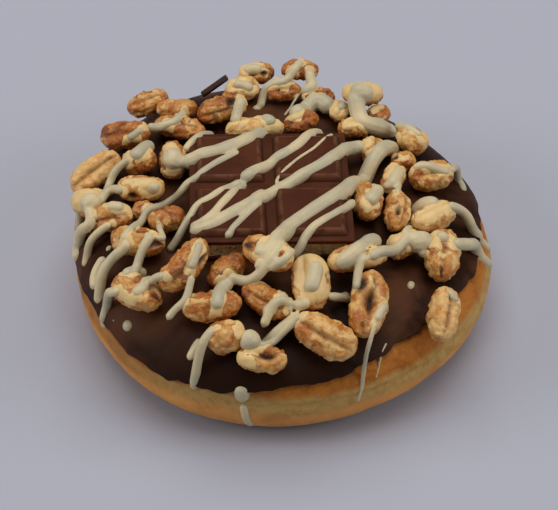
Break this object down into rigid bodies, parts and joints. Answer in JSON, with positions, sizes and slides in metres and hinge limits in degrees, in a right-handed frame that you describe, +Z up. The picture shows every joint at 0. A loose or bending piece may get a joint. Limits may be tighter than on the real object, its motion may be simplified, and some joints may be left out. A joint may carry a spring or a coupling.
{
  "type": "filled iced doughnut",
  "caption": "Round raised doughnut with dark icing, a filled chocolate square in its middle, puffed-wheat kernels around it and pale chocolate drizzle.",
  "frame": {"origin": "centre of the flat foot on which the doughnut rests", "axes": "+X to the right and -Y towards the viewer in the picture, +Z up out of the iced top"},
  "size_m": [0.0965, 0.0943, 0.0389],
  "materials": {
    "dough": "soft fried crust",
    "icing": "satin dark chocolate icing",
    "block_shell": "satin milk chocolate",
    "block_filling": "dull pale filling",
    "chocolate_shard": "satin dark chocolate",
    "kernel": "puffed grain with a thin glaze"
  },
  "bodies": {
    "root": {"dough": "dough", "icing": "icing", "block_shell": "block_shell", "block_filling": "block_filling", "chocolate_shard": "chocolate_shard", "kernel_01": "kernel", "kernel_02": "kernel", "kernel_03": "kernel", "kernel_04": "kernel", "kernel_05": "kernel", "kernel_06": "kernel", "kernel_07": "kernel", "kernel_08": "kernel", "kernel_09": "kernel", "kernel_10": "kernel", "kernel_11": "kernel", "kernel_12": "kernel", "kernel_13": "kernel", "kernel_14": "kernel", "kernel_15": "kernel", "kernel_16": "kernel", "kernel_17": "kernel", "kernel_18": "kernel", "kernel_19": "kernel", "kernel_20": "kernel", "kernel_21": "kernel", "kernel_22": "kernel", "kernel_23": "kernel", "kernel_24": "kernel", "kernel_25": "kernel", "kernel_26": "kernel", "kernel_27": "kernel", "kernel_28": "kernel", "kernel_29": "kernel", "kernel_30": "kernel", "kernel_31": "kernel", "kernel_32": "kernel", "kernel_33": "kernel", "kernel_34": "kernel", "kernel_35": "kernel", "kernel_36": "kernel", "kernel_37": "kernel", "kernel_38": "kernel", "kernel_39": "kernel", "kernel_40": "kernel", "kernel_41": "kernel", "kernel_42": "kernel", "kernel_43": "kernel", "kernel_44": "kernel", "kernel_45": "kernel", "kernel_46": "kernel", "kernel_47": "kernel", "kernel_48": "kernel"}
  },
  "joints": []
}
